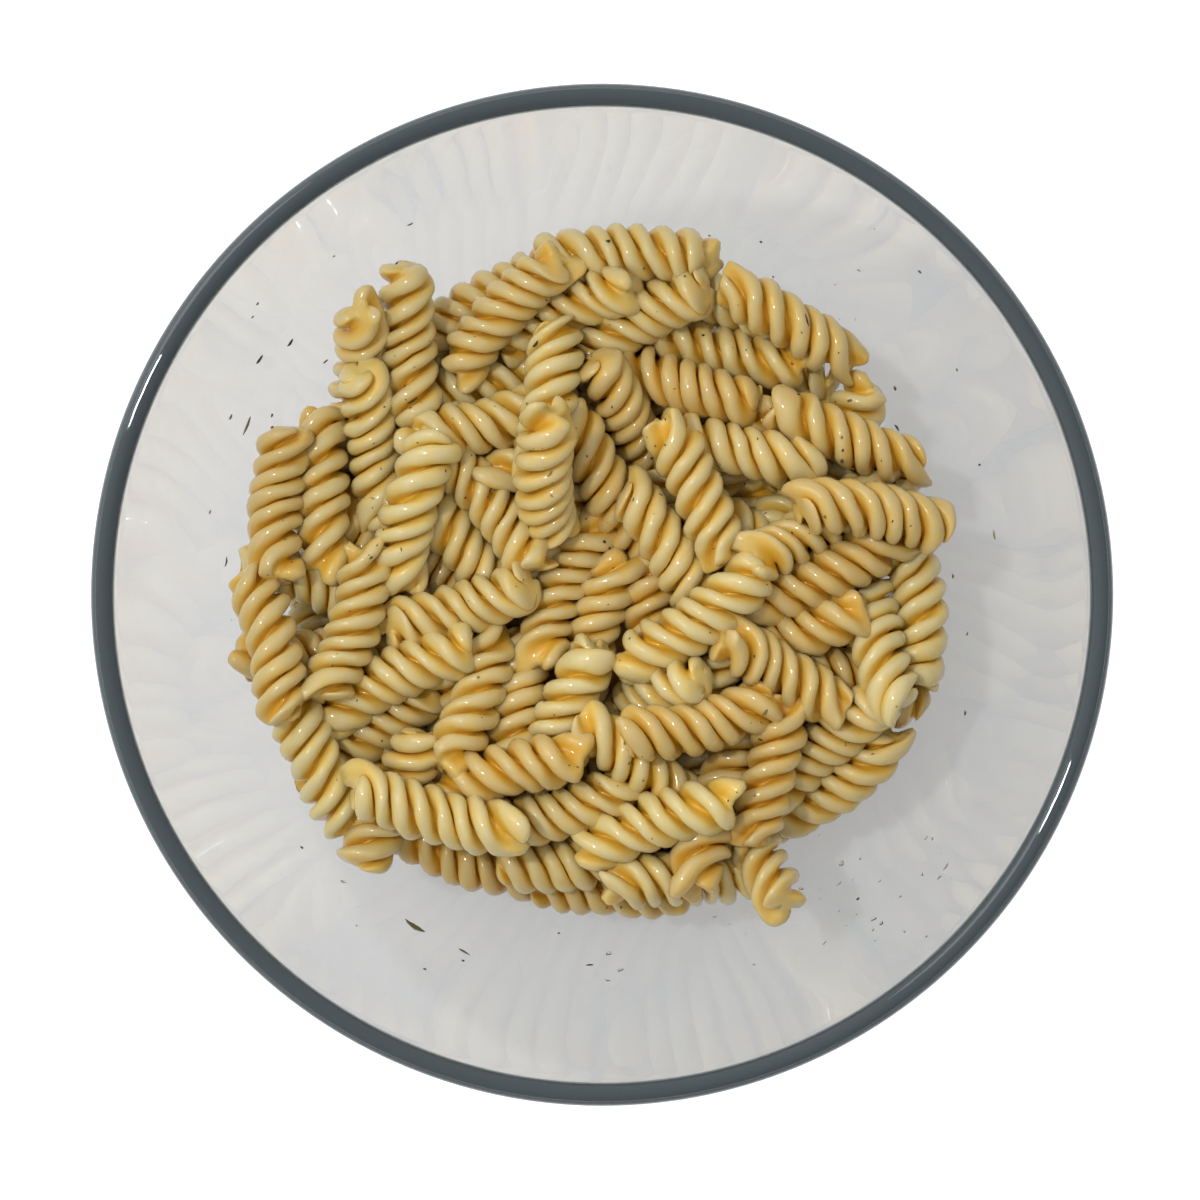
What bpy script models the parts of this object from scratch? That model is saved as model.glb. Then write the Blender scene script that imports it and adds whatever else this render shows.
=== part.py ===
"""Cooked fusilli in a round glass mixing bowl, at real size in metres, +Z up.

The origin is the centre of the bowl's underside. The bowl is one solid of revolution.
The pasta is one solid: a low heap of lying spirals out to its uneven outline, its top
worked out from the spirals and its underside following the inside of the bowl.
"""
import math

import bmesh
import bpy
import numpy as np
from mathutils import Matrix, Vector
from mathutils.geometry import delaunay_2d_cdt

# Bowl: a flat floor, a wall that rises on a quarter of an ellipse, and a rounded lip.
FLOOR_TOP = 0.006  # height of the floor's upper face
FLOOR_RADIUS = 0.038  # where the wall's curve starts
MOUTH_RADIUS = 0.1097  # inside of the wall where the lip starts
MOUTH_HEIGHT = 0.1028  # height of that point
WALL_SWEEP = math.radians(72)  # how much of the ellipse the wall uses
WALL_THICKNESS = 0.0045
LIP_WIDTH = 0.0054
LIP_TAPER = 0.25  # share of the wall over which it thickens into the lip
FOOT_RADIUS = 0.050
FOOT_HEIGHT = 0.0034
FOOT_CHAMFER = 0.0010
BOWL_SEGMENTS = 60
WALL_STEPS = 11
LIP_STEPS = 7

# Heap: its uneven edge, its crown, and the spirals that lie in its surface.
HEAP_RADIUS = 0.084  # mean radius of the outline
HEAP_LEAN = 0.005  # the heap lies this much further out on one side
HEAP_LEAN_ANGLE = math.radians(150)
OUTLINE_WAVES = ((5, 0.0018, 0.4), (9, 0.0016, 2.1), (14, 0.0014, 4.0))  # waves, size, phase
CROWN_HEIGHT = 0.057  # mean height of the surface in the middle
HOLLOW_DEPTH = 0.0045  # how far the surface sinks between the spirals
EDGE_DROP = 0.010  # how much lower the surface is at the edge
WALL_CLEARANCE = 0.0003  # gap between pasta and glass
SPIRAL_RADIUS = 0.0061
SPIRAL_LENGTH = 0.039
SPIRAL_COUNT = 58  # spirals that show in the surface
SPIRAL_SPREAD = 0.076  # radius of the circle that holds their centres
SPIRAL_TILT = math.radians(8)  # steepest lie
SPIRAL_RISE = 0.0022  # how unevenly high they lie
SURFACE_SPACING = 0.0036  # distance between points of the surface
OUTLINE_POINTS = 132
COLUMN_FOOT = -0.005  # the column reaches below the cavity before it is cut to it
SEED = 11


def wall_ellipse():
    """Half-axes of the ellipse that the inside of the wall follows."""
    across = (MOUTH_RADIUS - FLOOR_RADIUS) / math.sin(WALL_SWEEP)
    up = (MOUTH_HEIGHT - FLOOR_TOP) / (1 - math.cos(WALL_SWEEP))
    return across, up


def wall_point(sweep, outward):
    """(radius, height) at an angle of the wall's curve, moved outward along its normal."""
    across, up = wall_ellipse()
    normal = Vector((up * math.sin(sweep), -across * math.cos(sweep))).normalized()
    on_wall = Vector((FLOOR_RADIUS + across * math.sin(sweep), FLOOR_TOP + up * (1 - math.cos(sweep))))
    return on_wall + outward * normal


def wall_thickness(sweep):
    """The wall is even, and thickens near the mouth to the width of the lip."""
    near_mouth = max(0.0, sweep / WALL_SWEEP - (1 - LIP_TAPER)) / LIP_TAPER
    return WALL_THICKNESS + (LIP_WIDTH - WALL_THICKNESS) * near_mouth**2


def bowl_profile():
    """Half of the bowl's cut face, from the floor's middle, over the lip, to the foot's middle."""
    sweeps = [WALL_SWEEP * step / WALL_STEPS for step in range(WALL_STEPS + 1)]
    inside = [wall_point(sweep, 0.0) for sweep in sweeps]
    outside = [wall_point(sweep, wall_thickness(sweep)) for sweep in sweeps]
    centre = (inside[-1] + outside[-1]) / 2
    half_width = (inside[-1] - outside[-1]) / 2
    lip = []
    for step in range(1, LIP_STEPS):
        turn = math.pi * step / LIP_STEPS
        lip.append(centre + half_width @ Matrix.Rotation(turn, 2))
    above_foot = [point for point in reversed(outside) if point.x > FOOT_RADIUS]
    foot = [
        Vector((FOOT_RADIUS, FOOT_HEIGHT)),
        Vector((FOOT_RADIUS, FOOT_CHAMFER)),
        Vector((FOOT_RADIUS - FOOT_CHAMFER, 0.0)),
    ]
    return [Vector((0, FLOOR_TOP)), *inside, *lip, *above_foot, *foot, Vector((0, 0))]


def cavity_profile():
    """Half of the space that the pasta can fill, kept a small gap inside the wall."""
    sweeps = [WALL_SWEEP * step / WALL_STEPS for step in range(WALL_STEPS + 1)]
    wall = [wall_point(sweep, -WALL_CLEARANCE) for sweep in sweeps]
    return [Vector((0, wall[0].y)), *wall, Vector((0, wall[-1].y))]


def turned(name, profile):
    """A closed solid made by turning a profile of (radius, height) points about Z."""
    bm = bmesh.new()
    verts = [bm.verts.new((point.x, 0.0, point.y)) for point in profile]
    edges = [bm.edges.new(pair) for pair in zip(verts, verts[1:])]
    bmesh.ops.spin(
        bm, geom=verts + edges, cent=(0, 0, 0), axis=(0, 0, 1),
        angle=2 * math.pi, steps=BOWL_SEGMENTS, use_merge=True,
    )
    bmesh.ops.remove_doubles(bm, verts=bm.verts, dist=1e-6)
    bmesh.ops.recalc_face_normals(bm, faces=bm.faces)
    return as_object(name, bm)


def as_object(name, bm):
    """Turn a bmesh into an object of the scene."""
    mesh = bpy.data.meshes.new(name)
    bm.to_mesh(mesh)
    bm.free()
    thing = bpy.data.objects.new(name, mesh)
    bpy.context.scene.collection.objects.link(thing)
    return thing


def heap_outline(angle):
    """Radius of the heap's edge in a direction."""
    radius = HEAP_RADIUS + HEAP_LEAN * math.cos(angle - HEAP_LEAN_ANGLE)
    for waves, size, phase in OUTLINE_WAVES:
        radius += size * math.cos(waves * angle + phase)
    return radius


def mean_height(distance):
    """Height of the heap's smoothed surface at a distance from the axis."""
    return CROWN_HEIGHT - EDGE_DROP * (distance / HEAP_RADIUS) ** 2


def surface_spirals():
    """Middle, direction and half-length of each spiral that lies in the surface."""
    draw = np.random.default_rng(SEED)
    golden = math.pi * (3 - math.sqrt(5))
    spirals = []
    for index in range(SPIRAL_COUNT):
        distance = SPIRAL_SPREAD * math.sqrt((index + 0.5) / SPIRAL_COUNT)
        place = distance * np.array([math.cos(index * golden), math.sin(index * golden)])
        heading = draw.uniform(0, 2 * math.pi)
        tilt = draw.uniform(-SPIRAL_TILT, SPIRAL_TILT)
        level = mean_height(distance) + draw.uniform(-SPIRAL_RISE, SPIRAL_RISE) - SPIRAL_RADIUS / 2
        middle = np.array([*place, level])
        along = np.array([math.cos(heading), math.sin(heading), math.sin(tilt)])
        along /= np.linalg.norm(along)
        spirals.append((middle, along, SPIRAL_LENGTH / 2 - SPIRAL_RADIUS))
    return spirals


def surface_height(points, spirals):
    """Height of the heap over each point: the top of the highest spiral, or the mean below it."""
    heights = mean_height(np.linalg.norm(points, axis=1)) - HOLLOW_DEPTH
    for middle, along, reach in spirals:
        flat = points - middle[:2]
        run = np.hypot(along[0], along[1])
        shift = np.clip(flat @ along[:2] / run**2, -reach, reach)
        axis = middle + shift[:, None] * along
        aside = np.linalg.norm(points - axis[:, :2], axis=1)
        bulge = np.sqrt(np.maximum(SPIRAL_RADIUS**2 - aside**2, 0.0))
        heights = np.where(aside < SPIRAL_RADIUS, np.maximum(heights, axis[:, 2] + bulge), heights)
    return heights


def surface_points():
    """Points of the heap's surface seen from above: its edge, then a triangular lattice."""
    edge = []
    for index in range(OUTLINE_POINTS):
        angle = 2 * math.pi * index / OUTLINE_POINTS
        radius = heap_outline(angle)
        edge.append((radius * math.cos(angle), radius * math.sin(angle)))
    inner = []
    rows = int(1.2 * HEAP_RADIUS / SURFACE_SPACING)
    for row in range(-rows, rows + 1):
        for column in range(-rows, rows + 1):
            x = (column + 0.5 * (row % 2)) * SURFACE_SPACING
            y = row * SURFACE_SPACING * math.sqrt(3) / 2
            if math.hypot(x, y) < heap_outline(math.atan2(y, x)) - 0.7 * SURFACE_SPACING:
                inner.append((x, y))
    return edge, inner


def heap_column():
    """The heap's surface drawn down into a column that passes through the bowl's cavity."""
    edge, inner = surface_points()
    ring = [(index, (index + 1) % len(edge)) for index in range(len(edge))]
    flat = [Vector(point) for point in edge + inner]
    points, _, faces, *_ = delaunay_2d_cdt(flat, ring, [], 1, 1e-6)
    heights = surface_height(np.array([tuple(point) for point in points]), surface_spirals())
    bm = bmesh.new()
    verts = [bm.verts.new((point.x, point.y, height)) for point, height in zip(points, heights)]
    for face in faces:
        bm.faces.new([verts[index] for index in face])
    bmesh.ops.recalc_face_normals(bm, faces=bm.faces)
    drawn = bmesh.ops.extrude_face_region(bm, geom=bm.faces[:])
    for vert in drawn["geom"]:
        if isinstance(vert, bmesh.types.BMVert):
            vert.co.z = COLUMN_FOOT
    bmesh.ops.recalc_face_normals(bm, faces=bm.faces)
    return as_object("pasta_heap", bm)


def make_material(name, colour, roughness, transmission=0.0, alpha=1.0):
    """A Principled material in one colour."""
    material = bpy.data.materials.new(name)
    material.use_nodes = True
    shader = material.node_tree.nodes["Principled BSDF"]
    shader.inputs["Base Color"].default_value = (*colour, 1.0)
    shader.inputs["Roughness"].default_value = roughness
    shader.inputs["Transmission Weight"].default_value = transmission
    shader.inputs["Alpha"].default_value = alpha
    return material


def make_bowl():
    bowl = turned("glass_bowl", bowl_profile())
    bowl.data.shade_smooth()
    bowl.data.set_sharp_from_angle(angle=math.radians(35))
    bowl.data.materials.append(make_material("clear glass", (0.80, 0.81, 0.80), 0.02, 1.0, 0.4))
    return bowl


def make_heap():
    heap = heap_column()
    cavity = turned("bowl_cavity", cavity_profile())
    cavity.hide_render = True
    cavity.display_type = "WIRE"
    cut = heap.modifiers.new("fit to bowl", "BOOLEAN")
    cut.operation = "INTERSECT"
    cut.solver = "EXACT"
    cut.object = cavity
    heap.data.materials.append(make_material("cooked pasta", (0.62, 0.40, 0.13), 0.35))
    return heap


def main():
    for thing in list(bpy.data.objects):
        bpy.data.objects.remove(thing, do_unlink=True)
    make_bowl()
    make_heap()


main()
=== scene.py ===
# %% [markdown]
# # Cooked fusilli in a glass bowl
# This lesson builds the looks of a clear mixing bowl with a heap of cooked, dressed fusilli in it.
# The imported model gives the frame: the bowl's axis is Z, its foot stands on z = 0, and the CAD nodes
# `glass_bowl` and `pasta_heap` say how much room each thing takes.

# %% Load the frame
import math

import bmesh
import bpy
import numpy as np
from mathutils import Matrix, Vector, noise
from mathutils.bvhtree import BVHTree


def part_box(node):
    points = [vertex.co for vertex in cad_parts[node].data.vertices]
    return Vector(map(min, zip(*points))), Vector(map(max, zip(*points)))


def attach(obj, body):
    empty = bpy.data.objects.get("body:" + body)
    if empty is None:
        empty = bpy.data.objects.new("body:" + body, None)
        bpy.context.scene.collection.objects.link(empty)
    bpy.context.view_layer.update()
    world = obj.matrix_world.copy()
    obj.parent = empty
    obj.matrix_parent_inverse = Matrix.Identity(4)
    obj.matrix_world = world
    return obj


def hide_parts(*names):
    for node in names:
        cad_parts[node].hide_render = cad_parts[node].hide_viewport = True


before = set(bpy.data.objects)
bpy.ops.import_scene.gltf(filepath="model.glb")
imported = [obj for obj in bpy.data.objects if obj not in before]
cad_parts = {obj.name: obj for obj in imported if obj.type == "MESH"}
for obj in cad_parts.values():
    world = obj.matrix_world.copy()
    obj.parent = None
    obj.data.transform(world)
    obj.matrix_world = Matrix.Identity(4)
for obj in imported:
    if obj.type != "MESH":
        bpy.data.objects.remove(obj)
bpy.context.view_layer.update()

scene = bpy.context.scene
noise.seed_set(1)  # or the vector noise is shifted by the clock, and each run has other lumps
MM = 0.001

# %% [markdown]
# ## Small helpers
# Colours are picked as sRGB hex values, as a paint chart gives them, and turned to the linear numbers
# that shaders work in. One helper adds any node with its settings and links.

# %% Colour and node helpers
def linear(hex_colour):
    """sRGB hex to linear RGBA."""
    values = [int(hex_colour[i:i + 2], 16) / 255 for i in (1, 3, 5)]
    return [v / 12.92 if v <= 0.04045 else ((v + 0.055) / 1.055) ** 2.4 for v in values] + [1.0]


def add_node(tree, kind, settings=None, inputs=None):
    """Add a node, set its own settings, then set or link its inputs by name or number."""
    node = tree.nodes.new(kind)
    for key, value in (settings or {}).items():
        setattr(node, key, value)
    for key, value in (inputs or {}).items():
        if isinstance(value, bpy.types.NodeSocket):
            tree.links.new(value, node.inputs[key])
        else:
            node.inputs[key].default_value = value
    return node


def new_material(name):
    """An empty node material and its tree."""
    material = bpy.data.materials.new(name)
    material.use_nodes = True
    material.node_tree.nodes.clear()
    return material, material.node_tree


def finish_material(tree, shader):
    add_node(tree, "ShaderNodeOutputMaterial", inputs={"Surface": shader.outputs[0]})


def set_stops(ramp, stops):
    """Give a colour ramp its stops, as (place, hex colour) pairs."""
    while len(ramp.elements) > 1:
        ramp.elements.remove(ramp.elements[-1])
    for index, (place, colour) in enumerate(stops):
        element = ramp.elements[0] if index == 0 else ramp.elements.new(place)
        element.position = place
        element.color = linear(colour)


def new_object(name, mesh, material):
    """Put a mesh in the scene as an object at the origin."""
    thing = bpy.data.objects.new(name, mesh)
    scene.collection.objects.link(thing)
    if material is not None:
        mesh.materials.append(material)
    return thing


# %% [markdown]
# ## The bowl's shape
# A pressed borosilicate bowl is a solid of revolution: a flat floor, a wall on a quarter of an
# ellipse, and a lip that fire polishing has rounded. The CAD solid has flat facets, which would show
# as stripes in clear glass, so a finely turned bowl of the same sizes stands for it. The profile is
# a chain of vertices, and `bmesh.ops.spin` turns it.

# %% Measures of the bowl, in metres
bowl_low, bowl_high = (Vector(corner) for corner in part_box("glass_bowl"))
RIM_HEIGHT = bowl_high.z
FLOOR_TOP = 6.0 * MM
FLOOR_RADIUS = 38.0 * MM
MOUTH_RADIUS = 109.7 * MM
MOUTH_HEIGHT = 102.8 * MM
WALL_SWEEP = math.radians(72)
WALL_THICKNESS = 4.5 * MM
LIP_WIDTH = 5.4 * MM
LIP_TAPER = 0.25
FOOT_RADIUS = 50.0 * MM
FOOT_HEIGHT = 3.4 * MM
FOOT_ROUNDING = 1.0 * MM
ACROSS = (MOUTH_RADIUS - FLOOR_RADIUS) / math.sin(WALL_SWEEP)
RISE = (MOUTH_HEIGHT - FLOOR_TOP) / (1 - math.cos(WALL_SWEEP))


def wall_normal(sweep):
    """Outward normal of the wall, as (radius, height), at an angle of its curve."""
    return Vector((RISE * math.sin(sweep), -ACROSS * math.cos(sweep))).normalized()


def wall_point(sweep, outward):
    """(radius, height) on the inside of the wall, moved outward along its normal."""
    on_wall = Vector((FLOOR_RADIUS + ACROSS * math.sin(sweep), FLOOR_TOP + RISE * (1 - math.cos(sweep))))
    return on_wall + outward * wall_normal(sweep)


def wall_sweep_at(height):
    """The angle of the wall's curve at a height."""
    return math.acos(max(-1.0, min(1.0, 1 - (height - FLOOR_TOP) / RISE)))


def wall_thickness(sweep):
    near_mouth = max(0.0, sweep / WALL_SWEEP - (1 - LIP_TAPER)) / LIP_TAPER
    return WALL_THICKNESS + (LIP_WIDTH - WALL_THICKNESS) * near_mouth**2


print("wall half-axes (mm):", round(ACROSS / MM, 1), round(RISE / MM, 1))

# %% Turn the bowl
BOWL_SEGMENTS = 240
WALL_STEPS = 44
LIP_STEPS = 20


def bowl_profile():
    """Half of the cut face: floor, inside of the wall, lip, outside of the wall, foot."""
    sweeps = [WALL_SWEEP * step / WALL_STEPS for step in range(WALL_STEPS + 1)]
    inside = [wall_point(sweep, 0.0) for sweep in sweeps]
    outside = [wall_point(sweep, wall_thickness(sweep)) for sweep in sweeps]
    centre = (inside[-1] + outside[-1]) / 2
    half_width = (inside[-1] - outside[-1]) / 2
    lip = [centre + half_width @ Matrix.Rotation(math.pi * step / LIP_STEPS, 2) for step in range(1, LIP_STEPS)]
    above_foot = [point for point in reversed(outside) if point.x > FOOT_RADIUS + FOOT_ROUNDING]
    foot = [Vector((FOOT_RADIUS, FOOT_HEIGHT - FOOT_ROUNDING))]
    for step in range(5):
        turn = math.pi / 2 * step / 4
        foot.append(Vector((
            FOOT_RADIUS - FOOT_ROUNDING * (1 - math.cos(turn)),
            FOOT_ROUNDING * (1 - math.sin(turn)),
        )))
    return [Vector((0, FLOOR_TOP)), *inside, *lip, *above_foot, *foot, Vector((0, 0))]


def turned(profile, segments):
    """A bmesh made by turning (radius, height) points about Z."""
    bm = bmesh.new()
    verts = [bm.verts.new((point.x, 0.0, point.y)) for point in profile]
    edges = [bm.edges.new(pair) for pair in zip(verts, verts[1:])]
    bmesh.ops.spin(
        bm, geom=verts + edges, cent=(0, 0, 0), axis=(0, 0, 1),
        angle=2 * math.pi, steps=segments, use_merge=True,
    )
    bmesh.ops.remove_doubles(bm, verts=bm.verts, dist=1e-6)
    bmesh.ops.recalc_face_normals(bm, faces=bm.faces)
    return bm


def mesh_from(bm, name):
    mesh = bpy.data.meshes.new(name)
    bm.to_mesh(mesh)
    bm.free()
    mesh.shade_smooth()
    return mesh


bowl_mesh = mesh_from(turned(bowl_profile(), BOWL_SEGMENTS), "mixing_bowl")
bowl_mesh.set_sharp_from_angle(angle=math.radians(50))
print("bowl faces:", len(bowl_mesh.polygons))

# %% [markdown]
# ## Borosilicate glass
# Clear pressed glass: IOR 1.47, perfectly smooth, with a grey tint that darkens what is seen through it.

# %% Glass material
GLASS_IOR = 1.47
PAINTED_LIP_FROM = 101.6 * MM  # above this the lip is painted slate grey, as painted reflection of dark surroundings in thick glass


def make_glass(name, tint, transmission):
    material, tree = new_material(name)
    shader = add_node(tree, "ShaderNodeBsdfPrincipled", inputs={
        "Base Color": linear(tint), "Roughness": 0.0, "IOR": GLASS_IOR, "Transmission Weight": transmission,
    })
    clear = add_node(tree, "ShaderNodeBsdfTransparent", inputs={"Color": linear("#DEDFE0")})
    ray = add_node(tree, "ShaderNodeLightPath")
    from_lamp = add_node(tree, "ShaderNodeMath", {"operation": "MAXIMUM"},
                         {0: ray.outputs["Is Shadow Ray"], 1: ray.outputs["Is Diffuse Ray"]})
    mix = add_node(tree, "ShaderNodeMixShader",
                   inputs={0: from_lamp.outputs[0], 1: shader.outputs[0], 2: clear.outputs[0]})
    finish_material(tree, mix)
    return material


bowl = new_object("mixing_bowl", bowl_mesh, make_glass("clear pressed borosilicate glass", "#C1C2C3", 0.985))
# The lip's slate grey is painted reflection: it stands for the dark surroundings that a thick glass edge reflects and
# bends.
bowl_mesh.materials.append(make_glass("borosilicate lip with painted slate reflection", "#6A7A81", 0.76))
for face in bowl_mesh.polygons:
    face.material_index = int(face.center.z > PAINTED_LIP_FROM)

# %% [markdown]
# ## How the fusilli lie
# Each fusillo is a soft rod. The heap is made the way it came to be: the pieces fall into the bowl
# and push each other aside until they rest. A full rigid-body simulation of spirals is slow, so each
# piece is a chain of seven balls that keeps its shape, and position-based steps move overlapping
# balls apart, keep them inside the glass and let them sink. The pieces that show on top start above
# the place where they are wanted, with the heading they are wanted in, and are held there loosely.

# %% Sizes of a cooked fusillo, in millimetres
FIN_RADIUS = 6.9
PIECE_LENGTH = 38.5
LEAD = 16.2  # length of one full turn of the three fins
BALLS = 7
CONTACT_RADIUS = 5.5  # less than the fins' radius, because fins rest in each other's grooves

# %% The pieces that show: middle (x, y), heading in degrees, and layer up to 2, the top one
SHOWN = [
    (-47, 61, 97, 2), (-61, 57, 85, 1), (-56, 38, 97, 1), (-68, 25, 93, 2), (-79, 22, 88, 1),
    (-30, 51, 15, 0), (-23, 69, 46, 1), (-27, 74, 28, 0), (-10, 70, 35, 1), (10, 67, 34, 2),
    (5, 82, 2, 1), (45, 66, -30, 1), (28, 75, -10, 0), (31, 60, -13, 2), (20, 51, -17, 1),
    (-13, 47, 83, 2), (-15, 27, 80, 2), (-26, 41, 20, 1), (-46, 20, 73, 2), (6, 44, 113, 2),
    (1, 25, 119, 1), (23, 25, 114, 2), (32, 36, -12, 1), (60, 38, -22, 2), (55, 38, 42, 0),
    (-80, -12, 105, 1), (-61, -8, 73, 2), (-36, 13, 127, 1), (-25, 22, 132, 2), (-34, -3, 23, 2),
    (-49, -20, 27, 2), (-32, -26, 78, 2), (-69, 2, -20, 0), (-71, -15, 0, 0), (-72, -3, 80, -2), (-64, -26, 10, 0),
    (-8, 1, 62, 2), (-2, -9, 76, 1), (9, 1, 92, 1), (16, 10, 122, 2), (23, -6, 36, 2),
    (26, -20, 60, 1), (13, -23, -5, 1), (-9, -30, 68, 1), (-21, -27, 83, 1), (-8, 17, 60, 0),
    (50, 16, 30, 1), (56, 5, 33, 2), (77, -2, 98, 1), (65, 19, -8, 1), (67, -10, 97, 1),
    (43, -19, -33, 2), (60, -21, -20, 1), (38, 14, 150, 0), (46, -9, 20, 0), (-69, -41, 114, 1),
    (-57, -33, 33, 1), (-40, -52, -15, 2), (-46, -40, 5, 0), (-51, -50, 60, 0), (-33, -63, -18, 0),
    (-23, -41, 9, 2), (-11, -53, 10, 2), (13, -54, 15, 1), (-8, -64, 8, 1), (3, -73, -8, 0),
    (21, -69, 0, 1), (28, -52, 66, 1), (9, -41, 140, 1), (23, -31, 14, 2), (22, -42, 85, 0),
    (40, -43, 77, 2), (56, -36, 45, 2), (58, -46, 38, 0), (36, -63, 120, 1),
]
BOTTOM_COUNT = 13  # flat on the floor of the bowl
HIDDEN_COUNT = 86  # these included
HIGH = 41.0  # mm; hidden pieces that start above this keep to the middle
CORE = (30.0, 7.0, 28.0)  # half-width, half-height and middle height of the solid core

# %% Let them settle
SETTLE_STEPS = 700
SETTLE_SEED = 3
HIDDEN_RISE = 40.0  # mm
WALL_GAP = 1.0  # mm kept free at the glass while settling
HIGH_SHARE = 0.55  # the part of the bowl's radius that hidden pieces above the core start in


def first_places(draw):
    """Middles and directions before settling: shown pieces high up, hidden ones down the bowl."""
    shown = np.array(SHOWN, float)
    heading = np.radians(shown[:, 2])
    middles = np.column_stack([shown[:, :2], 62 + 9 * shown[:, 3]])
    along = np.column_stack([np.cos(heading), np.sin(heading), np.zeros(len(shown))])
    index = np.arange(HIDDEN_COUNT)
    height = 12 + HIDDEN_RISE * index / HIDDEN_COUNT
    height[:BOTTOM_COUNT] = 12
    share = np.sqrt(draw.uniform(0.02, 1, HIDDEN_COUNT)) * np.where(height > HIGH, HIGH_SHARE, 0.93)
    sweep = np.arccos(1 - (height * MM - FLOOR_TOP) / RISE)
    reach = ((FLOOR_RADIUS + ACROSS * np.sin(sweep)) / MM - FIN_RADIUS) * share
    angle = index * math.pi * (3 - math.sqrt(5))
    hidden = np.column_stack([reach * np.cos(angle), reach * np.sin(angle), height])
    turn = draw.uniform(0, math.pi, HIDDEN_COUNT)
    tilt = draw.uniform(-0.4, 0.4, HIDDEN_COUNT) * (index >= BOTTOM_COUNT)
    lie = np.column_stack([np.cos(turn) * np.cos(tilt), np.sin(turn) * np.cos(tilt), np.sin(tilt)])
    return np.vstack([middles, hidden]), np.vstack([along, lie])


def push_apart(balls, first, second):
    """Move overlapping balls of neighbouring pieces away from each other."""
    count = len(balls) * BALLS
    gap = balls[first][:, :, None] - balls[second][:, None, :]
    distance = np.sqrt((gap**2).sum(-1)) + 1e-9
    overlap = 2 * CONTACT_RADIUS - distance
    pair, one, other = np.nonzero(overlap > 0)
    share = (0.275 * overlap[pair, one, other] / distance[pair, one, other])[:, None] * gap[pair, one, other]
    flat = balls.reshape(-1, 3)
    for axis in range(3):
        flat[:, axis] += np.bincount(first[pair] * BALLS + one, share[:, axis], count)
        flat[:, axis] -= np.bincount(second[pair] * BALLS + other, share[:, axis], count)
    return flat


def keep_off_glass(points, gap):
    """Move points that come within gap mm of the inside of the glass straight away from it."""
    radius = np.hypot(points[:, 0], points[:, 1]) + 1e-9
    half_axes = ACROSS / MM - gap, RISE / MM - gap
    beyond = np.maximum(radius - FLOOR_RADIUS / MM, 0) / half_axes[0]
    below = (points[:, 2] - (FLOOR_TOP + RISE) / MM) / half_axes[1]
    stretch = np.maximum(np.hypot(beyond, below), 1)
    slope = np.array([beyond / half_axes[0], below / half_axes[1]]) / stretch
    step = (stretch - 1) / (slope**2).sum(0)
    points[:, :2] *= (1 - step * slope[0] / radius)[:, None]
    points[:, 2] -= step * slope[1]


def keep_in_bowl(flat):
    """Move balls back inside the glass and out of the core."""
    keep_off_glass(flat, FIN_RADIUS + WALL_GAP)
    across, half_height, middle = CORE
    scaled = (flat - [0, 0, middle]) / [across + FIN_RADIUS, across + FIN_RADIUS, half_height + FIN_RADIUS]
    size = np.linalg.norm(scaled, axis=1) + 1e-9
    inside = size < 1
    flat[inside] += (flat[inside] - [0, 0, middle]) * (0.5 * (1 / size[inside] - 1))[:, None]


def settle():
    """Return each piece's middle, direction and bend, in millimetres."""
    draw = np.random.default_rng(SETTLE_SEED)
    middles, along = first_places(draw)
    shown = np.array(SHOWN, float)
    count = len(shown)
    heading = np.radians(shown[:, 2])
    bend = np.zeros_like(middles)
    reach = PIECE_LENGTH / 2 - FIN_RADIUS
    place = np.linspace(-reach, reach, BALLS)
    bow = place**2 - np.mean(place**2)
    balls = middles[:, None] + along[:, None] * place[None, :, None]
    for step in range(SETTLE_STEPS):
        done = step / SETTLE_STEPS
        balls[:, :, 2] -= 0.30 * (1 - done) + 0.03
        if step % 15 == 0:
            centres = balls.mean(1)
            apart = np.linalg.norm(centres[:, None] - centres[None], axis=2)
            first, second = np.where(np.triu(apart < PIECE_LENGTH + 6, 1))
        for _ in range(3):
            flat = push_apart(balls, first, second)
            keep_in_bowl(flat)
            balls = flat.reshape(len(middles), BALLS, 3)
            middles = balls.mean(1)
            rest = balls - middles[:, None]
            along = (rest * place[None, :, None]).sum(1)
            along /= np.linalg.norm(along, axis=1)[:, None]
            bend = (rest * bow[None, :, None]).sum(1) / (bow**2).sum()
            bend -= (bend * along).sum(1)[:, None] * along
            size = np.linalg.norm(bend, axis=1) + 1e-12
            bend *= (np.minimum(size, MAX_BEND) / size * 0.985)[:, None]
            middles[:count, :2] += 0.06 * (1 - 0.7 * done) * (shown[:, :2] - middles[:count, :2])
            off = (heading - np.arctan2(along[:count, 1], along[:count, 0]) + math.pi / 2) % math.pi - math.pi / 2
            off *= 0.08 * (1 - 0.5 * done)
            turned_x = along[:count, 0] * np.cos(off) - along[:count, 1] * np.sin(off)
            turned_y = along[:count, 0] * np.sin(off) + along[:count, 1] * np.cos(off)
            along[:count] = np.column_stack([turned_x, turned_y, along[:count, 2] * 0.995])
            along /= np.linalg.norm(along, axis=1)[:, None]
            balls = middles[:, None] + along[:, None] * place[None, :, None] + bend[:, None] * bow[None, :, None]
    return middles, along, bend


MAX_BEND = 0.010  # largest bend, per mm of length squared
middles, along, bend = settle()
print("pieces:", len(middles), "highest top (mm):", round(float((middles[:, 2] + FIN_RADIUS).max()), 1))

# %% [markdown]
# ## One fusillo
# Fusilli come out of a die with three fins, and turn as they come. So the shape is a section with
# three fat fins, pushed along its axis and turned a little each time: `extrude_edge_only` adds each
# ring, and the ring's vertices are put on the section's outline there. Near its cut ends a cooked
# piece untwists and its fins taper, which gives the hooks and hearts that show in the heap. A few
# different ones are made, and every piece in the heap is a bent copy of one of them.

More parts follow.
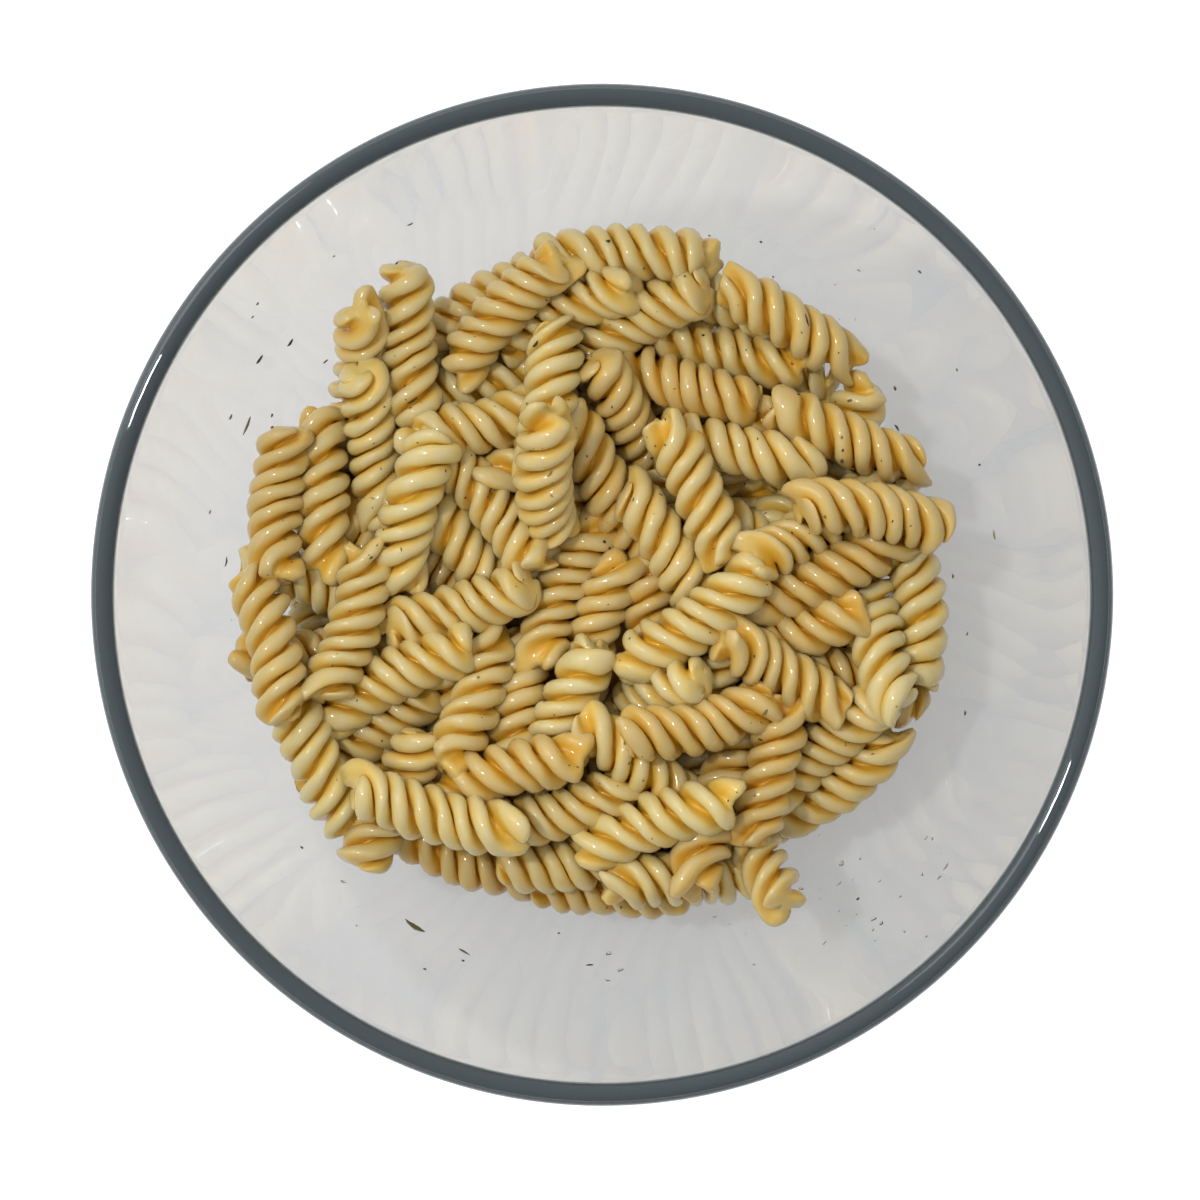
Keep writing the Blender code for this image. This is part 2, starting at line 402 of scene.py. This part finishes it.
# %% The fins' section
FIN_THICKNESS = 3.85
ROOT_RADIUS = 2.7
TIP_TURNS = (25, 50, 72)  # degrees round the rounded tip where a fin has points
FLANK_RADII = (4.0, 3.2)


def fin_points(outer, half, pitch):
    """(radius, angle) from a fin's edge down one side; pitch is mm of length per radian of twist."""
    tip_centre = outer - half
    side = [(tip_centre + half * math.cos(math.radians(turn)), half * math.sin(math.radians(turn)))
            for turn in TIP_TURNS]
    side += [(radius * outer / FIN_RADIUS, half) for radius in FLANK_RADII]
    return [(radius, min(offset * math.hypot(radius, pitch) / (radius * pitch), 0.98)) for radius, offset in side]


def section(outer, thickness, pitch):
    """(radius, angle) points round the section with three fins."""
    points = []
    for fin in range(3):
        middle = fin * 2 * math.pi / 3
        side = fin_points(outer, thickness[fin] / 2, pitch)
        points += [(radius, middle - angle) for radius, angle in reversed(side)]
        points.append((outer, middle))
        points += [(radius, middle + angle) for radius, angle in side]
        points.append((ROOT_RADIUS * outer / FIN_RADIUS, middle + math.pi / 3))
    return points


# %% Push the section along its axis
KINDS = 10
RING_SPACING = 0.60
END_ROUNDING = 1.0  # mm over which the fins' edges thin at a cut end
LOOSE_END = 4.0  # mm at each end where the fins part
PALE_END = 3.0  # mm at each end where the crest is raised, so the ends take the pale crest colour and none of the painted groove shade
KIND_SEED = 21


def end_habits(draw):
    """How the fins part at one end: twist left, each fin's turn, curl, reach and tail, slant, rounding."""
    opened = draw.random() < 0.35
    return {
        "loose": draw.uniform(0.30, 0.55) if opened else draw.uniform(0.80, 1.05),
        "swing": draw.uniform(-0.22, 0.22, 3),
        "curl": draw.uniform(-0.55, 0.55, 3),
        "flare": draw.uniform(-0.22, 0.08, 3),
        "tail": draw.uniform(0, 1, 3) ** 4 * 4.5,
        "slant": draw.uniform(-0.34, 0.34, 2),
        "dome": 1.4 if opened else draw.uniform(2.2, 3.4),
    }


def placed(radius, angle, fin, outer, height, turn, ends):
    """Where a point of the section goes, with the habits of both ends; ends are (habits, distance, sign)."""
    tail = 0.0
    share = (radius / outer) ** 2
    for habits, distance, sign in ends:
        near = math.exp(-(distance / LOOSE_END) ** 2)
        angle += near * (habits["swing"][fin] + habits["curl"][fin] * share)
        radius *= 1 + near * habits["flare"][fin] * share
        tail += sign * habits["tail"][fin] * share * math.exp(-(distance / 2.2) ** 2)
    x, y = radius * math.cos(angle + turn), radius * math.sin(angle + turn)
    for habits, distance, sign in ends:
        slant = habits["slant"]
        tail += math.exp(-(distance / 6.0) ** 2) * (slant[0] * x + slant[1] * y)
    return x, y, height + tail


def fusillo(kind):
    """A straight fusillo along Z, in millimetres, with each vertex's radius kept as its crest."""
    draw = np.random.default_rng(KIND_SEED + kind)
    length = PIECE_LENGTH * draw.uniform(0.94, 1.04)
    habits = [end_habits(draw), end_habits(draw)]
    lead = LEAD * draw.uniform(0.93, 1.07)
    swell = draw.uniform(0, 2 * math.pi, 4)
    fin_share = draw.uniform(0.92, 1.08, 3)
    steps = int(length / RING_SPACING)
    edges = np.linspace(0, math.pi, steps + 1)
    heights = -np.cos(edges) * length / 2 * 0.25 + np.linspace(-1, 1, steps + 1) * length / 2 * 0.75
    twist = draw.uniform(0, 2 * math.pi)
    bm = bmesh.new()
    crest = bm.verts.layers.float.new("crest")
    ring = None
    previous = heights[0]
    for height in heights:
        from_start, from_end = height - heights[0], heights[-1] - height
        ends = ((habits[0], from_start, -1), (habits[1], from_end, 1))
        ease = 1 + 0.13 * math.sin(2 * math.pi * height / 21 + swell[0])
        for habit, distance, _ in ends:
            ease *= 1 - (1 - habit["loose"]) * math.exp(-(distance / (1.4 * LOOSE_END)) ** 2)
        pitch = lead / (2 * math.pi) / ease
        twist += (height - previous) / pitch
        previous = height
        outer = FIN_RADIUS * (1 + 0.03 * math.sin(2 * math.pi * height / 17 + swell[1]))
        for habit, distance, _ in ends:
            outer *= 1 - 0.42 * (1 - math.sqrt(1 - max(0.0, 1 - distance / habit["dome"]) ** 2))
        nearest = min(from_start, from_end)
        near = min(nearest, END_ROUNDING) / END_ROUNDING
        rounding = math.sqrt(1 - (1 - near) ** 2)
        thickness = FIN_THICKNESS * fin_share * (1 + 0.12 * np.sin(2 * math.pi * height / 13 + swell[1:]))
        thickness = thickness - END_ROUNDING * 0.9 * (1 - rounding)
        outline = section(outer, thickness, pitch)
        if ring is None:
            ring = [bm.verts.new((0, 0, 0)) for _ in outline]
            loop = [bm.edges.new((a, b)) for a, b in zip(ring, ring[1:] + ring[:1])]
            bm.faces.new(list(reversed(ring)))
        else:
            grown = bmesh.ops.extrude_edge_only(bm, edges=loop)["geom"]
            fresh = {item for item in grown if isinstance(item, bmesh.types.BMVert)}
            loop = [item for item in grown if isinstance(item, bmesh.types.BMEdge)
                    and item.verts[0] in fresh and item.verts[1] in fresh]
            ring = [next(edge.other_vert(vert) for edge in vert.link_edges if edge.other_vert(vert) in fresh)
                    for vert in ring]
        for number, (vert, (radius, angle)) in enumerate(zip(ring, outline)):
            vert.co = placed(radius, angle, number * 3 // len(ring), outer, height, twist, ends)
            # Near the cut ends the crest is raised, so the ends get the painted sheen colour and none of the painted
            # groove shade.
            vert[crest] = max(radius / outer, 0.88 * math.exp(-(nearest / PALE_END) ** 2))
    bm.faces.new(ring)
    caps = [face for face in bm.faces if len(face.verts) > 4]
    bmesh.ops.triangulate(bm, faces=caps)
    bmesh.ops.recalc_face_normals(bm, faces=bm.faces)
    shift = Vector(draw.uniform(-50, 50, 3))
    for vert in bm.verts:
        vert.co += LUMPINESS * noise.noise_vector(vert.co / LUMP_SIZE + shift)
    return bm


def short_split(corners, points):
    """Start a skewed quad at the corner whose diagonal is the shorter, because it is split along it."""
    if len(corners) == 4:
        first, second = (np.sum((points[corners[i]] - points[corners[i + 2]]) ** 2) for i in (0, 1))
        if second < first:
            return corners[1:] + corners[:1]
    return corners


LUMPINESS = 0.42  # mm
LUMP_SIZE = 5.0  # mm
kinds = []
for kind in range(KINDS):
    bm = fusillo(kind)
    bm.verts.ensure_lookup_table()
    crest = bm.verts.layers.float["crest"]
    points = np.array([vert.co[:] for vert in bm.verts])
    kinds.append({
        "points": points,
        "crest": np.array([vert[crest] for vert in bm.verts]),
        "faces": [short_split([vert.index for vert in face.verts], points) for face in bm.faces],
    })
    bm.free()
print("a fusillo has", len(kinds[0]["points"]), "vertices and", len(kinds[0]["faces"]), "faces")

# %% [markdown]
# ## Lay the fusilli in the bowl
# Each piece in the heap is one of the kinds, rolled about its axis, turned end for end or not, and
# bent along the middle line that it settled to. The copies are joined into a few meshes, with each
# vertex's crest and each piece's own tone kept as attributes for the material.

# %% Bend and join the copies
GROUPS = 5
LAY_SEED = 5
PRESSED = 0.25  # mm from the glass, where what would reach into it is pressed flat


def laid(kind, middle, direction, bow, draw):
    """A kind's points on a piece's own bent middle line."""
    points = kind["points"] * [*[draw.uniform(0.96, 1.05)] * 2, draw.uniform(0.97, 1.03)]
    roll = draw.uniform(0, 2 * math.pi)
    x = points[:, 0] * math.cos(roll) - points[:, 1] * math.sin(roll)
    y = points[:, 0] * math.sin(roll) + points[:, 1] * math.cos(roll)
    z = points[:, 2]
    if draw.random() < 0.5:
        y, z = -y, -z
    spread = PIECE_LENGTH**2 / 12
    line = middle + direction * z[:, None] + bow * (z**2 - spread)[:, None]
    tangent = direction + 2 * bow * z[:, None]
    tangent /= np.linalg.norm(tangent, axis=1)[:, None]
    side = np.cross(direction, [0.0, 0.0, 1.0])
    side = side - tangent * (tangent @ side)[:, None]
    side /= np.linalg.norm(side, axis=1)[:, None]
    up = np.cross(tangent, side)
    return line + side * x[:, None] + up * y[:, None]


def joined(name, members, draw, material):
    points, faces, crest, tone = [], [], [], []
    offset = 0
    for index in members:
        kind = kinds[index % KINDS]
        points.append(laid(kind, middles[index], along[index], bend[index], draw))
        keep_off_glass(points[-1], PRESSED)
        faces += [[corner + offset for corner in face] for face in kind["faces"]]
        crest.append(kind["crest"])
        tone.append(np.full(len(kind["points"]), draw.random()))
        offset += len(kind["points"])
    mesh = bpy.data.meshes.new(name)
    mesh.from_pydata((np.vstack(points) * MM).tolist(), [], faces)
    for label, values in (("crest", crest), ("tone", tone)):
        layer = mesh.attributes.new(label, "FLOAT", "POINT")
        layer.data.foreach_set("value", np.concatenate(values).astype(np.float32))
    mesh.shade_smooth()
    return new_object(name, mesh, material)


# %% [markdown]
# ## Cooked durum wheat
# Boiled pasta is a pale gold, waxy and translucent. A colour ramp over each vertex's crest paints
# light and shade into it: painted shade and glow of bounced light make the grooves deep amber, and a
# painted sheen makes the fins' edges creamy. A film of oil and starchy water makes it glossy.

# %% Pasta material
def make_pasta():
    material, tree = new_material("cooked durum wheat pasta, oiled")
    place = add_node(tree, "ShaderNodeTexCoord")
    crest = add_node(tree, "ShaderNodeAttribute", {"attribute_name": "crest"})
    tone = add_node(tree, "ShaderNodeAttribute", {"attribute_name": "tone"})
    mottle = add_node(tree, "ShaderNodeTexNoise", inputs={
        "Vector": place.outputs["Object"], "Scale": 260.0, "Detail": 2.0, "Roughness": 0.6})
    shift = add_node(tree, "ShaderNodeMath", {"operation": "MULTIPLY_ADD"},
                     {0: mottle.outputs["Fac"], 1: 0.30, 2: -0.15})
    height = add_node(tree, "ShaderNodeMath", {"operation": "ADD"},
                      {0: crest.outputs["Fac"], 1: shift.outputs[0]})
    ramp = add_node(tree, "ShaderNodeValToRGB", inputs={"Fac": height.outputs[0]})
    # Painted light and shade: the low stops give the grooves a deep amber as painted shade and bounced glow, and the
    # top stops give the fins' edges a pale cream as painted sheen.
    set_stops(ramp.color_ramp, ((0.42, "#D3A42D"), (0.66, "#D6AE48"), (0.86, "#D2B767"), (1.0, "#CBBB86")))
    warm = add_node(tree, "ShaderNodeMix", {"data_type": "RGBA", "blend_type": "MULTIPLY"},
                    {"Factor": tone.outputs["Fac"], "A": ramp.outputs["Color"], "B": linear("#F1E1C9")})
    bump = add_node(tree, "ShaderNodeBump", inputs={
        "Strength": 0.25, "Distance": 0.0003, "Height": mottle.outputs["Fac"]})
    shader = add_node(tree, "ShaderNodeBsdfPrincipled", {"subsurface_method": "BURLEY"}, {
        "Base Color": warm.outputs["Result"], "Normal": bump.outputs["Normal"],
        "Roughness": 0.35, "IOR": 1.45, "Specular IOR Level": 0.15,
        "Subsurface Weight": 0.4, "Subsurface Radius": (1.0, 0.76, 0.34), "Subsurface Scale": 0.002,
        "Coat Weight": 0.8, "Coat Roughness": 0.10, "Coat IOR": 1.45,
    })
    finish_material(tree, shader)
    return material


pasta = make_pasta()
lay_draw = np.random.default_rng(LAY_SEED)
order = np.argsort(middles[:, 2])
fusilli = []
for group, members in enumerate(np.array_split(order, GROUPS)):
    fusilli.append(joined(f"fusilli_{group + 1}", members, lay_draw, pasta))
print("triangles:", sum(len(face.vertices) - 2 for piece in fusilli for face in piece.data.polygons))

# %% [markdown]
# ## Herbs and pepper
# Dried herbs and ground pepper cling to the wet pasta and to the glass. Each bit is a small
# icosphere, drawn out, flattened and bent. A bit on the glass sits on the wall where its angle and
# its distance from the axis say; a bit on the pasta is dropped from above onto the first fusillo.

# %% Where bits stick
LOOK_FROM = 755.0  # mm above the floor; the places below are as they look from there
LOOK_LEVEL = 53.0  # mm, the level at which they are in true size
ON_GLASS = [  # x, y, heading in degrees, length, width
    (-83, 57, 50, 2.6, 0.9), (-86, 41, 85, 5.0, 0.9), (-90, 43, 60, 1.6, 0.8), (-80, 43.5, 110, 1.1, 0.8),
    (-80, 40.5, 0, 1.2, 0.9), (-75.5, 61, 70, 2.2, 1.1), (-67, 56.5, 20, 1.8, 0.6), (-49.5, 80.5, 35, 2.2, 0.7),
    (-46.5, 89.7, 20, 1.6, 0.6), (-65, 82, 0, 0.8, 0.6), (-83.5, 70.5, 40, 0.9, 0.7), (-84.7, 67.3, 0, 1.0, 0.6),
    (-45.5, -80.5, -40, 5.6, 1.9), (-33.5, -86.5, -55, 3.2, 0.7), (-33.7, -88.7, 0, 0.9, 0.8),
    (-43, -90.7, 10, 1.0, 0.8), (-72.8, -61.3, 0, 1.0, 0.8), (-9, -75.8, 0, 0.7, 0.6), (-10.5, -82, 0, 0.8, 0.6),
    (-36, -69.3, 0, 0.7, 0.6), (-3, -89.7, 15, 1.9, 0.6), (62, -73.7, 0, 1.1, 1.0), (41, -74, 0, 0.8, 0.7),
    (88, -28.7, 80, 1.4, 0.8), (76.5, -22, 70, 1.8, 0.8), (95, 14.5, 92, 2.3, 0.7), (88.5, -9.5, 60, 1.1, 0.6),
    (85, 4.5, 80, 1.4, 0.7), (91.5, 31.5, 20, 1.0, 0.7), (86, 54.5, 60, 0.9, 0.7), (77, 78.3, 0, 1.1, 1.0),
    (38.5, 85.5, 0, 0.9, 0.8), (41.5, 77, 60, 0.9, 0.6), (21.5, 87.5, 0, 0.7, 0.6), (26, 87, 0, 0.7, 0.6),
    (71, 50, 80, 1.5, 1.0), (60, 59.5, 20, 0.9, 0.6), (71.5, 40.5, -45, 2.0, 0.7), (-91, 8, 75, 2.4, 0.6),
    (-95, 20, 70, 1.2, 0.6),
]
ON_PASTA = [
    (1.5, 85.5, 30, 1.6, 1.0), (-26, 81.5, -60, 3.2, 1.0), (-16, 60.7, 60, 2.6, 0.7), (-18, 46.3, 0, 1.1, 1.0),
    (-12.5, 29.2, 50, 2.0, 0.6), (0.5, 12.8, 0, 1.0, 0.9), (1.7, 11.3, 0, 0.9, 0.8), (10, 79, 0, 0.8, 0.7),
    (20, 77, 0, 0.8, 0.7), (24.5, 62.7, 0, 0.9, 0.7), (-46, 47, 20, 3.1, 0.8), (46, 56, 0, 1.0, 0.9),
    (49.5, 66.5, -70, 3.0, 0.6), (58, 38, 85, 1.2, 0.6), (58.2, 35, 85, 1.0, 0.7), (58, 32.5, 80, 1.4, 0.9),
    (60, 47, 10, 1.7, 0.8), (41, 45, 0, 0.8, 0.7), (39.5, -28.5, 50, 2.0, 0.8), (38.5, -35, 0, 0.9, 0.8),
    (6.5, -40.8, 0, 0.9, 0.9), (47.5, 48.5, 30, 1.5, 0.6), (54, 19, 0, 1.0, 0.9), (46, 15, 70, 1.0, 0.6),
    (67, 14, 0, 1.4, 0.6), (37, -15, 80, 0.9, 0.8), (72.5, -19, 0, 1.0, 0.9), (70.5, 27, 45, 1.9, 0.8),
    (-56, 9, 30, 1.0, 0.7), (-30, -20, 0, 0.8, 0.8), (-38, 30, 60, 1.1, 0.6), (12, 33, 0, 0.9, 0.8),
]
SPRINKLED = 170  # finer bits on the pasta
HERB_SEED = 9


def glass_spot(x, y):
    """The spot on the inside of the wall that looks to be at (x, y), and the normal into the bowl."""
    looks = math.hypot(x, y)
    low, high = 0.0, WALL_SWEEP
    for _ in range(30):
        sweep = (low + high) / 2
        radius, height = wall_point(sweep, 0.0) / MM
        if radius * (LOOK_FROM - LOOK_LEVEL) / (LOOK_FROM - height) < looks:
            low = sweep
        else:
            high = sweep
    out = wall_normal(sweep)
    spot = Vector((radius * x / looks, radius * y / looks, height))
    return spot, Vector((-out.x * x / looks, -out.x * y / looks, -out.y))


def pasta_spot(trees, x, y):
    """The first fusillo under a place that looks to be at (x, y), and its normal there."""
    eye = Vector((0, 0, LOOK_FROM * MM))
    ray = (Vector((x, y, LOOK_LEVEL)) * MM - eye).normalized()
    hits = [hit for hit in (tree.ray_cast(eye, ray) for tree in trees) if hit[0] is not None]
    if not hits:
        return None
    place, normal, _, _ = min(hits, key=lambda hit: hit[3])
    return place / MM, normal


def add_bit(bm, tones, spot, normal, heading, size, draw, subdivisions=1):
    """A rough, bent, flat bit of a size (length, width, thickness) lying on a surface."""
    along = Vector((math.cos(heading), math.sin(heading), 0))
    along = (along - normal * along.dot(normal)).normalized()
    across = normal.cross(along)
    shift = Vector(draw.uniform(-50, 50, 3))
    hook = draw.uniform(-0.16, 0.16) / size[0]
    made = bmesh.ops.create_icosphere(bm, subdivisions=subdivisions, radius=0.5)["verts"]
    tone = float(draw.random())
    for vert in made:
        rough = vert.co + 0.16 * noise.noise_vector(vert.co * 2.5 + shift)
        a, b, c = rough.x * size[0], rough.y * size[1] * (1 - 0.5 * abs(rough.x)), rough.z * size[2]
        vert.co = (spot + along * a + across * (b + 4 * hook * a * a) + normal * (c + 0.35 * size[2])) * MM
        vert[tones] = tone


# %% Make the bits
def make_herbs(trees):
    draw = np.random.default_rng(HERB_SEED)
    bm = bmesh.new()
    tones = bm.verts.layers.float.new("tone")
    spots = [(*glass_spot(x, y), bit) for x, y, *bit in ON_GLASS]
    for x, y, *bit in ON_PASTA:
        found = pasta_spot(trees, x, y)
        if found:
            spots.append((*found, bit))
    for _ in range(SPRINKLED):
        angle = draw.uniform(0, 2 * math.pi)
        radius = 82 * math.sqrt(draw.random())
        found = pasta_spot(trees, radius * math.cos(angle), radius * math.sin(angle))
        length = 0.35 + 0.9 * draw.random() ** 2
        if found:
            spots.append((*found, [draw.uniform(0, 180), length, draw.uniform(0.3, 0.5)]))
    for spot, normal, (heading, length, width) in spots:
        size = (length, width, min(0.45, 0.6 * width))
        add_bit(bm, tones, spot, normal, math.radians(heading), size, draw, 2 if length > 1.8 else 1)
    bmesh.ops.recalc_face_normals(bm, faces=bm.faces)
    print("bits of herb and pepper:", len(spots))
    return new_object("herbs_and_pepper", mesh_from(bm, "herbs_and_pepper"), make_herb_material())


def make_herb_material():
    material, tree = new_material("dried herbs and ground black pepper")
    tone = add_node(tree, "ShaderNodeAttribute", {"attribute_name": "tone"})
    ramp = add_node(tree, "ShaderNodeValToRGB", inputs={"Fac": tone.outputs["Fac"]})
    set_stops(ramp.color_ramp, ((0.0, "#1D1A12"), (0.4, "#35311F"), (0.75, "#5A5634"), (1.0, "#7E7548")))
    shader = add_node(tree, "ShaderNodeBsdfPrincipled", inputs={
        "Base Color": ramp.outputs["Color"], "Roughness": 0.55, "Coat Weight": 0.3, "Coat Roughness": 0.15})
    finish_material(tree, shader)
    return material


pasta_trees = [BVHTree.FromPolygons([vert.co for vert in piece.data.vertices],
                                    [face.vertices for face in piece.data.polygons]) for piece in fusilli]
herbs = make_herbs(pasta_trees)

# %% [markdown]
# ## Drops on the glass
# Where the pasta was tossed, oily cooking water has left small flat drops and short smears on the
# glass, most of them low on the right.

# %% Make the drops
DROP_CENTRES = [(54, -65, 5), (55, -75, 5), (82, -63, 3), (70, -81, 4), (32, -80, 6), (-60, -70, 8), (60, 72, 9),
                (-80, 10, 9), (10, -86, 9)]
DROPS_EACH = 7
DROP_SEED = 14


def make_drops():
    draw = np.random.default_rng(DROP_SEED)
    bm = bmesh.new()
    tones = bm.verts.layers.float.new("tone")
    for x, y, spread in DROP_CENTRES:
        for _ in range(DROPS_EACH):
            spot, normal = glass_spot(x + draw.normal(0, spread), y + draw.normal(0, spread))
            length = 0.5 + 1.6 * draw.random() ** 2
            heading = math.atan2(spot.y, spot.x) + draw.normal(0, 0.4)
            size = (length, length * draw.uniform(0.35, 0.8), 0.22)
            add_bit(bm, tones, spot, normal, heading, size, draw, 2)
    bmesh.ops.recalc_face_normals(bm, faces=bm.faces)
    material, tree = new_material("oily cooking water")
    shader = add_node(tree, "ShaderNodeBsdfPrincipled", inputs={
        "Base Color": linear("#F2EFE4"), "Roughness": 0.02, "IOR": 1.36, "Transmission Weight": 1.0})
    finish_material(tree, shader)
    return new_object("drops", mesh_from(bm, "drops"), material)


drops = make_drops()

# %% [markdown]
# ## The core
# Nothing of the middle of the heap can be seen, so a smaller solid fills it and closes the gaps.
# Its dark amber is painted shade, for the shaded pasta deep in the gaps.

# %% Make the core
def make_core_material():
    material, tree = new_material("shaded middle of the heap")
    place = add_node(tree, "ShaderNodeTexCoord")
    cloud = add_node(tree, "ShaderNodeTexNoise", inputs={"Vector": place.outputs["Object"], "Scale": 110.0})
    ramp = add_node(tree, "ShaderNodeValToRGB", inputs={"Fac": cloud.outputs["Fac"]})
    # The core's dark amber, darker than the pasta, is painted shade for the shade deep in the heap.
    set_stops(ramp.color_ramp, ((0.3, "#A2660F"), (0.7, "#C08A2E")))
    shader = add_node(tree, "ShaderNodeBsdfPrincipled", inputs={"Base Color": ramp.outputs["Color"], "Roughness": 0.5})
    finish_material(tree, shader)
    return material


def make_core():
    bm = bmesh.new()
    bmesh.ops.create_icosphere(bm, subdivisions=4, radius=1.0)
    across, half_height, middle = CORE
    bmesh.ops.scale(bm, verts=bm.verts, vec=Vector((across - 1, across - 1, half_height - 1)) * MM)
    bmesh.ops.translate(bm, verts=bm.verts, vec=(0, 0, middle * MM))
    for vert in bm.verts:
        vert.co += 2.0 * MM * noise.noise_vector(vert.co / (9 * MM))
    return new_object("heap_core", mesh_from(bm, "heap_core"), make_core_material())


core = make_core()

# %% [markdown]
# ## Stage, light and camera
# A pale floor, a broad soft light from the left and a bright sky give plain studio light.

# %% Floor
def make_floor():
    material, tree = new_material("white acrylic light table")
    shader = add_node(tree, "ShaderNodeBsdfPrincipled", inputs={
        "Base Color": linear("#FAFAFA"), "Roughness": 0.9,
        "Emission Color": linear("#FFFFFF"), "Emission Strength": 0.4})
    finish_material(tree, shader)
    bm = bmesh.new()
    bmesh.ops.create_grid(bm, x_segments=1, y_segments=1, size=4.0)
    floor = new_object("floor", mesh_from(bm, "floor"), material)
    return floor


make_floor()

# %% Light
WINDOW_SIDE = (-0.80, 0.60)


def make_world():
    world = bpy.data.worlds.new("soft studio")
    scene.world = world
    world.use_nodes = True
    tree = world.node_tree
    tree.nodes.clear()
    sky = add_node(tree, "ShaderNodeTexCoord")
    toward = add_node(tree, "ShaderNodeVectorMath", {"operation": "DOT_PRODUCT"},
                      {0: sky.outputs["Generated"], 1: (*WINDOW_SIDE, 0.0)})
    strength = add_node(tree, "ShaderNodeMapRange", inputs={
        "Value": toward.outputs["Value"], "From Min": -1.0, "From Max": 1.0, "To Min": 0.45, "To Max": 1.25})
    background = add_node(tree, "ShaderNodeBackground",
                          inputs={"Color": linear("#FFFFFF"), "Strength": strength.outputs["Result"]})
    add_node(tree, "ShaderNodeOutputWorld", inputs={"Surface": background.outputs[0]})


def add_area(name, place, size, energy):
    data = bpy.data.lights.new(name, "AREA")
    data.shape = "DISK"
    data.size = size
    data.energy = energy
    lamp = bpy.data.objects.new(name, data)
    scene.collection.objects.link(lamp)
    lamp.location = place
    lamp.rotation_euler = (-Vector(place)).to_track_quat("-Z", "Y").to_euler()
    return lamp


make_world()
add_area("window", (-1.0, 0.75, 1.3), 0.8, 4.0)
add_area("small lamp", (-0.45, 0.20, 1.2), 0.08, 5.0)

# %% Camera
CAMERA_HEIGHT = 0.755
camera_data = bpy.data.cameras.new("camera")
camera_data.lens = 87.0
camera_data.sensor_width = 36.0
camera_data.shift_x = -0.00175
camera_data.shift_y = -0.0044
camera = bpy.data.objects.new("camera", camera_data)
scene.collection.objects.link(camera)
camera.location = (0, 0, CAMERA_HEIGHT)
scene.camera = camera
scene.view_settings.view_transform = "Standard"
scene.cycles.max_bounces = 8
scene.cycles.diffuse_bounces = 3
scene.cycles.glossy_bounces = 2
scene.cycles.transmission_bounces = 8

# %% [markdown]
# ## Tie the pieces to the frame

# %% Ride and replace
for piece in (bowl, core, *fusilli, herbs, drops):
    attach(piece, "root")
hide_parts("glass_bowl")
for piece in (core, *fusilli):
    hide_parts("pasta_heap")
